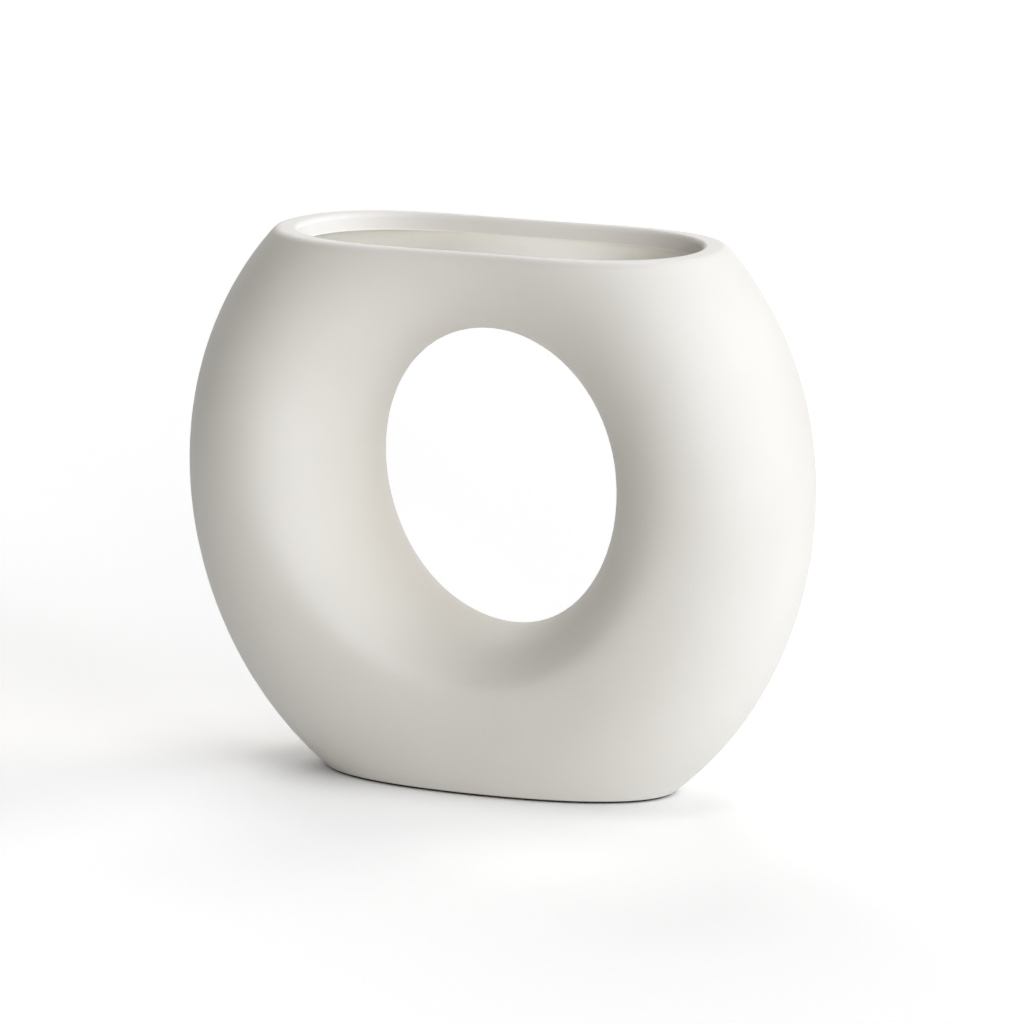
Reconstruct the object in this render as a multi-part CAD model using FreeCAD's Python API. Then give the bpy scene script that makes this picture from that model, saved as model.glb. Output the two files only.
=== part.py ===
import FreeCAD, Part
import math
import os

from FreeCAD import Vector

# A free-standing ring vase, slip-cast in stoneware. Millimetres, Z up, X along the mouth, Y front to back.
# The ring is hollow all the way round. Its top is cut level to make the mouth, its underside to make the foot.
# The origin is on the floor, under the middle of the ring.

# Hole through the ring, as reaches from its centre
hole_reach_side = 47.3
hole_reach_up = 57.0
hole_reach_down = 49.1

# Ring round the hole: under it, beside it and over it
base_height = 54.6
limb_width = 66.5
band_over_hole = 31.7
shoulder_fullness = 2.6

# The round outline would close this far past the mouth and the foot, which cut it off level
outline_past_mouth = 35.8
outline_past_foot = 21.8

# Half thickness of the ring, from its middle plane to its crown line
half_depth_side = 40.3
half_depth_up = 37.3
half_depth_down = 34.4

# The crown line, where the ring is thickest, lies at these shares of the way from the hole to the outline
crown_share_side = 0.461
crown_share_up = 0.487
crown_share_down = 0.267

# Cast wall, with a thicker floor and a round where they meet inside
wall = 4.0
floor_wall = 5.5
inside_corner_round = 4.0

# Glaze lining poured inside, up to the underside of the lip
glaze = 0.4

# Lip: a collar of even height round the mouth, which stands in over the lining
lip_overhang = 1.5
lip_height = 5.7
lip_outer_round = 3.7
lip_land = 0.6

# Foot: a bare ring, ground flat, round a shallow recess
foot_edge_round = 1.2
foot_ring_width = 7.0
foot_recess = 1.5
recess_edge_round = 0.6

# Overrun of the cutting solids past what they cut
overrun = 20.0

# Sizes that follow from those above
centre_height = base_height + hole_reach_down
vase_height = centre_height + hole_reach_up + band_over_hole
outline_reach_side = hole_reach_side + limb_width
outline_reach_up = hole_reach_up + band_over_hole + outline_past_mouth
outline_reach_down = centre_height + outline_past_foot
inside_floor = foot_recess + floor_wall
lip_underside = vase_height - lip_height
lip_width = wall + glaze + lip_overhang
lip_inner_round = lip_width - lip_outer_round - lip_land

# The ring's skin is a smooth cubic surface through this many sections, with this many points on each
sections_round_ring = 32
points_round_section = 16
cubic = 3
control_passes = 10

# A face is level when its height varies by less than this share of its outline
level_share = 1e-6


def around(side, up, down, rise):
    """Blend of three values round the ring. Rise is the sine of the angle above the level of its centre."""
    return side * (1 - rise ** 2) + (up + down) / 2 * rise ** 2 + (up - down) / 2 * rise


def section(turn, inset):
    """Points round the oval section of the ring at a turn from its +X side, drawn in by inset on every side."""
    rise = math.sin(turn)
    level = math.cos(turn)
    outline = around(outline_reach_side, outline_reach_up, outline_reach_down, rise)
    outline += shoulder_fullness * rise * level ** 2
    hole = around(hole_reach_side, hole_reach_up, hole_reach_down, rise)
    share = around(crown_share_side, crown_share_up, crown_share_down, rise)
    crown = hole + (outline - hole) * share
    half_depth = around(half_depth_side, half_depth_up, half_depth_down, rise) - inset
    points = []
    for step in range(points_round_section):
        angle = math.pi + 2 * math.pi * step / points_round_section
        outward = math.cos(angle)
        half_width = outline - crown - inset if outward > 0 else crown - hole - inset
        reach = crown + half_width * outward
        points.append(Vector(reach * level, half_depth * math.sin(angle), centre_height + reach * rise))
    return points


def controls(points):
    """Control points of the smooth closed cubic that passes through evenly stepped points."""
    control = list(points)
    count = len(points)
    for _ in range(control_passes):
        curve = [(control[i - 1] + control[i] * 4 + control[(i + 1) % count]) / 6 for i in range(count)]
        control = [c + p - on_curve for c, p, on_curve in zip(control, points, curve)]
    return control[-1:] + control[:-1]


def ring(inset):
    """The whole ring as one smooth closed solid, before the level cuts. Its seams meet under the hole."""
    turns = [-math.pi / 2 + 2 * math.pi * step / sections_round_ring for step in range(sections_round_ring)]
    rows = [controls(section(turn, inset)) for turn in turns]
    columns = [controls(column) for column in zip(*rows)]
    cage = list(zip(*columns))
    ring_knots = list(range(sections_round_ring + 1))
    section_knots = list(range(points_round_section + 1))
    skin = Part.BSplineSurface()
    skin.buildFromPolesMultsKnots(
        cage,
        [1] * len(ring_knots),
        [1] * len(section_knots),
        ring_knots,
        section_knots,
        True,
        True,
        cubic,
        cubic,
    )
    solid = Part.Solid(Part.Shell([skin.toShape()]))
    if solid.Volume < 0:
        solid.reverse()
    return solid


def ring_between(inset, low, high):
    """The ring, drawn in by inset, between two level cuts."""
    half = outline_reach_side + overrun
    layer = Part.makeBox(2 * half, 2 * half, high - low, Vector(-half, -half, low))
    return ring(inset).common(layer).Solids[0]


def level_face(solid, height):
    """The flat face of a solid at a height."""
    for face in solid.Faces:
        box = face.BoundBox
        if max(abs(box.ZMin - height), abs(box.ZMax - height)) < face.Length * level_share:
            return face
    raise ValueError("no level face at %s" % height)


def ring_plan(inset, height):
    """Plan of the ring at its top or bottom cut, as a level face drawn in by inset."""
    return level_face(ring_between(inset, 0, vase_height), height)


def inner_edges(face):
    """Edges of the holes in a face."""
    return [edge for wire in face.Wires if not wire.isSame(face.OuterWire) for edge in wire.Edges]


def prism(face, low, high):
    """A level face swept from one height to another."""
    base = face.translated(Vector(0, 0, low - face.BoundBox.ZMin))
    return base.extrude(Vector(0, 0, high - low))


def mouth_space():
    """What the mouth leaves open: the plan inside the lip, swept down through the lip."""
    plan = ring_plan(lip_width, vase_height)
    return prism(plan, lip_underside - lip_overhang, vase_height + overrun)


def cavity(inset, low, high, corner_round):
    """Space inside the ring between the inside floor and the underside of the lip, with a rounded floor corner."""
    space = ring_between(inset, low, high)
    return space.makeFillet(corner_round, level_face(space, low).Edges).Solids[0]


def foot_recess_space():
    """Shallow recess under the foot, with its inner corner rounded."""
    space = prism(ring_plan(foot_ring_width, 0), -overrun, foot_recess)
    return space.makeFillet(recess_edge_round, level_face(space, foot_recess).Edges)


def ceramic_body():
    """The cast ring: rounded lip and foot outside, hollow inside, open at the mouth."""
    blank = ring_between(0, 0, vase_height)
    blank = blank.makeFillet(lip_outer_round, level_face(blank, vase_height).Edges).Solids[0]
    blank = blank.makeFillet(foot_edge_round, level_face(blank, 0).Edges).Solids[0]
    hollow = blank.cut(cavity(wall, inside_floor, lip_underside, inside_corner_round))
    hollow = hollow.cut(mouth_space()).Solids[0]
    hollow = hollow.makeFillet(lip_inner_round, inner_edges(level_face(hollow, vase_height))).Solids[0]
    hollow = hollow.cut(foot_recess_space()).Solids[0]
    return hollow.makeFillet(recess_edge_round, inner_edges(level_face(hollow, 0))).Solids[0]


def inside_glaze():
    """The lining: it covers the inside wall and floor and the underside of the lip, and is open at the mouth."""
    outer = cavity(wall, inside_floor, lip_underside, inside_corner_round)
    inner = cavity(
        wall + glaze,
        inside_floor + glaze,
        lip_underside - glaze,
        inside_corner_round - glaze,
    )
    layer = Part.Solid(Part.Compound([outer.Shells[0], inner.Shells[0].reversed()]))
    return layer.cut(mouth_space()).Solids[0]


os.makedirs("parts", exist_ok=True)
nodes = {"ceramic_body": ceramic_body(), "inside_glaze": inside_glaze()}
for name, solid in nodes.items():
    solid.exportStep("parts/%s.step" % name)
    size = solid.optimalBoundingBox(False, False)
    print("%s: valid %s, %.1f cm3, %.1f x %.1f x %.1f mm" % (
        name, solid.isValid(), solid.Volume / 1000, size.XLength, size.YLength, size.ZLength))
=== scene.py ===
import math

import bpy
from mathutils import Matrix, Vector

MM = 0.001

# Camera: long lens, a little above the lip, with the vase's +X end turned towards it. Angles are in degrees, and
# the lens and sensor in millimetres.
CAMERA_TURN = 22.53
CAMERA_RISE = 12.492
CAMERA_DISTANCE = 2459.6 * MM
CAMERA_TARGET = Vector((4.658, 0, 95.43)) * MM
CAMERA_LENS = 249.4
SENSOR_WIDTH = 36.0
VIEW_DEPTH = 60.0

# Studio: soft lamps far off, each with its turn and rise round the vase, its width as the vase sees it, all three
# in degrees, its strength and its colour
LAMPS = (
    ("front_softbox", 30, 12, 18, 0.8, "#FFFCF6"),
    ("side_softbox", 60, 20, 36, 1.14, "#FAFCFF"),
    ("end_softbox", 90, 12, 40, 1.44, "#E6EEFF"),
    ("top_softbox", 0, 90, 40, 0.76, "#FFFDFA"),
    ("back_left_softbox", -150, 35, 40, 0.98, "#FFFFFF"),
    ("back_right_softbox", 130, 35, 40, 0.8, "#FFFCF6"),
)
BACKDROP_WHITE = "#FFFFFF"

# Table: white, and seen a little whiter than it is lit, but less so close under the vase
FLOOR_HALF = 20.0
FLOOR_WHITE = "#FCFCFC"
FLOOR_WHITENING = 0.225
CONTACT_REACH = 22 * MM
CONTACT_SAMPLES = 8

# Noise is used between these values, which it reaches in most of its blotches
BLOTCH_LOW = 0.3
BLOTCH_HIGH = 0.7

# Matte coat: warm white, a little uneven. The real grain is finer than this and is drawn coarser so that it shows.
COAT_WHITE = "#DEDBD5"
COAT_WARM = "#D9D6CF"
COAT_ROUGHNESS = (0.6, 0.68)
COAT_IOR = 1.5
CLOUD_SIZE = 55 * MM
CLOUD_DETAIL = 3.0
HAND_WAVE_SIZE = 28 * MM
HAND_WAVE_DETAIL = 1.0
HAND_WAVE_DEPTH = 0.05 * MM
GRAIN_SIZE = 0.7 * MM
GRAIN_DETAIL = 4.0
GRAIN_DEPTH = 0.012 * MM

# Lip, painted lighter on its top and inside where they catch more light: its colour, half the length and width of
# its plan, the height where it begins, and how much a face looks outwards where the painted light begins and where
# it is full
LIP_PAINTED_LIGHT = "#E8E5E1"
LIP_HALF_LENGTH = 78 * MM
LIP_HALF_WIDTH = 34 * MM
LIP_LOW = 180 * MM
LIP_OUTER_FACING = 0.8
LIP_TOP_FACING = 0.3

# Bare biscuit under the foot, below its top and on faces that look down at least as much as its facing says, and
# a painted shadow: the dark line painted along the foot's edge where it leaves the table
BISCUIT = "#D8CDBB"
BISCUIT_SPECK = "#B9AA92"
BISCUIT_ROUGHNESS = 0.85
BISCUIT_TOP = 1.6 * MM
BISCUIT_FACING = -0.9
SPECK_SIZE = 0.9 * MM
SPECK_DETAIL = 2.0
PAINTED_CONTACT_SHADOW = "#140E08"
CONTACT_SHADOW_HEIGHT = 0.9 * MM
EDGE_SOFTNESS = 0.2 * MM

# Glossy lining, creamier where it ran thick towards the floor of the hollow
LINING_CREAM = "#FDFBF5"
LINING_POOL = "#F4EEE2"
LINING_ROUGHNESS = (0.14, 0.22)
LINING_IOR = 1.52
POOL_LOW = 12 * MM
POOL_HIGH = 120 * MM
PEEL_SIZE = 2.5 * MM
PEEL_DETAIL = 1.0
PEEL_DEPTH = 0.02 * MM

# Sockets of a colour Mix node. They go by number, because its sockets for other kinds of value have the same
# names.
MIX_FACTOR = 0
MIX_A = 6
MIX_B = 7
MIX_RESULT = 2


def linear(hex_colour):
    """An sRGB hex colour as linear red, green and blue, by the curve of the sRGB standard, and full alpha."""
    shares = [int(hex_colour[i:i + 2], 16) / 255 for i in (1, 3, 5)]
    return [s / 12.92 if s <= 0.04045 else ((s + 0.055) / 1.055) ** 2.4 for s in shares] + [1.0]


def around(turn, rise):
    """The way from the vase to a place round it. Turn 0 is in front, towards -Y, and 90 is past its +X end."""
    t, r = math.radians(turn), math.radians(rise)
    return Vector((math.sin(t) * math.cos(r), -math.cos(t) * math.cos(r), math.sin(r)))


def node(tree, kind, settings=None, links=None):
    """Adds a node. Its settings are properties or values of its sockets, and its links feed sockets from other
    nodes' outputs."""
    made = tree.nodes.new(kind)
    for key, value in (settings or {}).items():
        if isinstance(key, str) and hasattr(made, key):
            setattr(made, key, value)
        else:
            made.inputs[key].default_value = value
    for key, source in (links or {}).items():
        tree.links.new(source, made.inputs[key])
    return made


def new_material(name):
    """An empty material and its node tree."""
    material = bpy.data.materials.new(name)
    material.use_nodes = True
    material.node_tree.nodes.clear()
    return material, material.node_tree


def blotches(tree, size, detail):
    """Soft blotches of a real size, from 0 to 1, fixed to the vase."""
    place = node(tree, "ShaderNodeTexCoord").outputs["Object"]
    noise = node(tree, "ShaderNodeTexNoise", {"Scale": 1 / size, "Detail": detail}, {"Vector": place})
    return node(tree, "ShaderNodeMapRange", {"From Min": BLOTCH_LOW, "From Max": BLOTCH_HIGH}, {
        "Value": noise.outputs[0]}).outputs[0]


def height_share(tree, none_at, full_at):
    """0 at one height on the vase and 1 at another, which may be the higher or the lower of the two."""
    place = node(tree, "ShaderNodeTexCoord").outputs["Object"]
    z = node(tree, "ShaderNodeSeparateXYZ", links={0: place}).outputs["Z"]
    return node(tree, "ShaderNodeMapRange", {"From Min": none_at, "From Max": full_at}, {
        "Value": z}).outputs[0]


def painted_lip_light_share(tree):
    """1 on the top and inside of the lip, where painted light goes, and 0 on the outside, with a soft change over
    its outer round.
    """
    place = node(tree, "ShaderNodeTexCoord").outputs["Object"]
    plan = (1 / LIP_HALF_LENGTH ** 2, 1 / LIP_HALF_WIDTH ** 2, 0)
    slope = node(tree, "ShaderNodeVectorMath", {"operation": "MULTIPLY", 1: plan}, {0: place}).outputs[0]
    outward = node(tree, "ShaderNodeVectorMath", {"operation": "NORMALIZE"}, {0: slope}).outputs[0]
    facing = node(tree, "ShaderNodeNewGeometry").outputs["Normal"]
    looks_out = node(tree, "ShaderNodeVectorMath", {"operation": "DOT_PRODUCT"}, {0: outward, 1: facing})
    inner = node(tree, "ShaderNodeMapRange", {"From Min": LIP_OUTER_FACING, "From Max": LIP_TOP_FACING}, {
        "Value": looks_out.outputs["Value"]}).outputs[0]
    high = height_share(tree, LIP_LOW, LIP_LOW + EDGE_SOFTNESS)
    return node(tree, "ShaderNodeMath", {"operation": "MULTIPLY"}, {0: inner, 1: high}).outputs[0]


def foot_share(tree):
    """1 on the low faces that look down, which are the foot ring and its recess, and 0 elsewhere."""
    facing = node(tree, "ShaderNodeNewGeometry").outputs["True Normal"]
    z = node(tree, "ShaderNodeSeparateXYZ", links={0: facing}).outputs["Z"]
    down = node(tree, "ShaderNodeMath", {"operation": "LESS_THAN", 1: BISCUIT_FACING}, {0: z}).outputs[0]
    low = height_share(tree, BISCUIT_TOP + EDGE_SOFTNESS, BISCUIT_TOP)
    return node(tree, "ShaderNodeMath", {"operation": "MULTIPLY"}, {0: down, 1: low}).outputs[0]


def matte_stoneware():
    """White stoneware under a thin satin-matte coat. It gives the eye a soft warm white with no sharp
    highlight, faintly cloudy, with a fine grain close up, a lip painted whiter on its top and inside where they
    catch the light, a painted contact shadow along the foot's edge and a bare sandy foot."""
    material, tree = new_material("satin_matte_stoneware")
    cloud = blotches(tree, CLOUD_SIZE, CLOUD_DETAIL)
    wave = node(tree, "ShaderNodeBump", {"Distance": HAND_WAVE_DEPTH}, {
        "Height": blotches(tree, HAND_WAVE_SIZE, HAND_WAVE_DETAIL)}).outputs[0]
    skin = node(tree, "ShaderNodeBump", {"Distance": GRAIN_DEPTH}, {
        "Height": blotches(tree, GRAIN_SIZE, GRAIN_DETAIL), "Normal": wave}).outputs[0]
    cloudy = node(tree, "ShaderNodeMix", {
        "data_type": "RGBA", MIX_A: linear(COAT_WHITE), MIX_B: linear(COAT_WARM)}, {
        MIX_FACTOR: cloud}).outputs[MIX_RESULT]
    # Painted light: the top and inside of the lip are drawn whiter where they catch more light
    with_lip_light = node(tree, "ShaderNodeMix", {"data_type": "RGBA", MIX_B: linear(LIP_PAINTED_LIGHT)}, {
        MIX_FACTOR: painted_lip_light_share(tree), MIX_A: cloudy}).outputs[MIX_RESULT]
    # Painted shadow: a dark band on the lowest part of the foot's edge, where it leaves the table
    with_contact_shadow = node(tree, "ShaderNodeMix", {"data_type": "RGBA", MIX_B: linear(PAINTED_CONTACT_SHADOW)}, {
        MIX_FACTOR: height_share(tree, CONTACT_SHADOW_HEIGHT + EDGE_SOFTNESS, CONTACT_SHADOW_HEIGHT),
        MIX_A: with_lip_light}).outputs[MIX_RESULT]
    smoothest, roughest = COAT_ROUGHNESS
    roughness = node(tree, "ShaderNodeMapRange", {"To Min": smoothest, "To Max": roughest}, {
        "Value": cloud}).outputs[0]
    coat = node(tree, "ShaderNodeBsdfPrincipled", {"IOR": COAT_IOR}, {
        "Base Color": with_contact_shadow, "Roughness": roughness, "Normal": skin}).outputs[0]
    sandy = node(tree, "ShaderNodeMix", {
        "data_type": "RGBA", MIX_A: linear(BISCUIT), MIX_B: linear(BISCUIT_SPECK)}, {
        MIX_FACTOR: blotches(tree, SPECK_SIZE, SPECK_DETAIL)}).outputs[MIX_RESULT]
    bare = node(tree, "ShaderNodeBsdfPrincipled", {"IOR": COAT_IOR, "Roughness": BISCUIT_ROUGHNESS}, {
        "Base Color": sandy, "Normal": skin}).outputs[0]
    both = node(tree, "ShaderNodeMixShader", links={0: foot_share(tree), 1: coat, 2: bare})
    node(tree, "ShaderNodeOutputMaterial", links={"Surface": both.outputs[0]})
    return material


def lining_glaze():
    """Clear creamy glaze poured inside to hold water. It gives the eye a wet gloss and a cream tone, with a
    faint orange-peel skin, and it is a little darker where it pooled."""
    material, tree = new_material("creamy_lining_glaze")
    peel = blotches(tree, PEEL_SIZE, PEEL_DETAIL)
    colour = node(tree, "ShaderNodeMix", {
        "data_type": "RGBA", MIX_A: linear(LINING_POOL), MIX_B: linear(LINING_CREAM)}, {
        MIX_FACTOR: height_share(tree, POOL_LOW, POOL_HIGH)}).outputs[MIX_RESULT]
    smoothest, roughest = LINING_ROUGHNESS
    roughness = node(tree, "ShaderNodeMapRange", {"To Min": smoothest, "To Max": roughest}, {
        "Value": peel}).outputs[0]
    skin = node(tree, "ShaderNodeBump", {"Distance": PEEL_DEPTH}, {"Height": peel}).outputs[0]
    shader = node(tree, "ShaderNodeBsdfPrincipled", {"IOR": LINING_IOR}, {
        "Base Color": colour, "Roughness": roughness, "Normal": skin})
    node(tree, "ShaderNodeOutputMaterial", links={"Surface": shader.outputs[0]})
    return material


def seen_share(tree):
    """1 for what the camera, gloss and glass see, and 0 for the light that things cast on each other."""
    path = node(tree, "ShaderNodeLightPath").outputs
    either = node(tree, "ShaderNodeMath", {"operation": "MAXIMUM"}, {
        0: path["Is Camera Ray"], 1: path["Is Glossy Ray"]}).outputs[0]
    return node(tree, "ShaderNodeMath", {"operation": "MAXIMUM"}, {
        0: either, 1: path["Is Transmission Ray"]}).outputs[0]


def add_floor():
    """White table. It looks a little whiter than it is lit, but less so close under the vase, and keeps the
    shadow."""
    bpy.ops.mesh.primitive_plane_add(size=2 * FLOOR_HALF)
    floor = bpy.context.object
    floor.name = "studio_floor"
    material, tree = new_material("white_table")
    diffuse = node(tree, "ShaderNodeBsdfDiffuse", {"Color": linear(FLOOR_WHITE)}).outputs[0]
    open_share = node(tree, "ShaderNodeAmbientOcclusion", {
        "samples": CONTACT_SAMPLES, "Distance": CONTACT_REACH}).outputs["AO"]
    whitening = node(tree, "ShaderNodeMath", {"operation": "MULTIPLY", 1: FLOOR_WHITENING}, {
        0: seen_share(tree)}).outputs[0]
    glow = node(tree, "ShaderNodeMath", {"operation": "MULTIPLY"}, {0: open_share, 1: whitening}).outputs[0]
    emission = node(tree, "ShaderNodeEmission", links={"Strength": glow}).outputs[0]
    both = node(tree, "ShaderNodeAddShader", links={0: diffuse, 1: emission})
    node(tree, "ShaderNodeOutputMaterial", links={"Surface": both.outputs[0]})
    floor.data.materials.append(material)


def add_lamp(name, turn, rise, width, strength, colour):
    """A far soft lamp at a place round the vase, turned towards it."""
    light = bpy.data.lights.new(name, "SUN")
    light.angle = math.radians(width)
    light.energy = strength
    light.color = linear(colour)[:3]
    lamp = bpy.data.objects.new(name, light)
    bpy.context.scene.collection.objects.link(lamp)
    lamp.location = around(turn, rise)
    lamp.rotation_euler = (-around(turn, rise)).to_track_quat("-Z", "Y").to_euler()


def add_air():
    """The studio round the vase: white to the eye, to gloss and through glass, where a strength of 1 is white.
    It lights nothing else."""
    world = bpy.data.worlds.new("studio_air")
    bpy.context.scene.world = world
    world.use_nodes = True
    tree = world.node_tree
    tree.nodes.clear()
    backdrop = node(tree, "ShaderNodeBackground", {"Color": linear(BACKDROP_WHITE)}, {
        "Strength": seen_share(tree)})
    node(tree, "ShaderNodeOutputWorld", links={"Surface": backdrop.outputs[0]})


def add_camera():
    """The camera that took the photograph, as fitted to the vase's outline, hole, lip and crease."""
    data = bpy.data.cameras.new("camera")
    data.lens = CAMERA_LENS
    data.sensor_width = SENSOR_WIDTH
    data.clip_end = VIEW_DEPTH
    camera = bpy.data.objects.new("camera", data)
    bpy.context.scene.collection.objects.link(camera)
    back = around(CAMERA_TURN, CAMERA_RISE)
    camera.location = CAMERA_TARGET + back * CAMERA_DISTANCE
    camera.rotation_euler = (-back).to_track_quat("-Z", "Y").to_euler()
    bpy.context.scene.camera = camera


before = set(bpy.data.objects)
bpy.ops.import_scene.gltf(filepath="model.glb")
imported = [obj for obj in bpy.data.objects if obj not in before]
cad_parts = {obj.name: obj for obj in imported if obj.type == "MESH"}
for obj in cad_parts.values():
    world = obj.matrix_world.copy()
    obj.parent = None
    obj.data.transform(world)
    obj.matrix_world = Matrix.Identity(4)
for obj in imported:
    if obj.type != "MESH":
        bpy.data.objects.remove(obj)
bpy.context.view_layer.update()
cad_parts["ceramic_body"].material_slots[0].material = matte_stoneware()
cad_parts["inside_glaze"].material_slots[0].material = lining_glaze()
add_camera()
add_floor()
add_air()
for lamp in LAMPS:
    add_lamp(*lamp)
bpy.context.scene.view_settings.view_transform = "Standard"
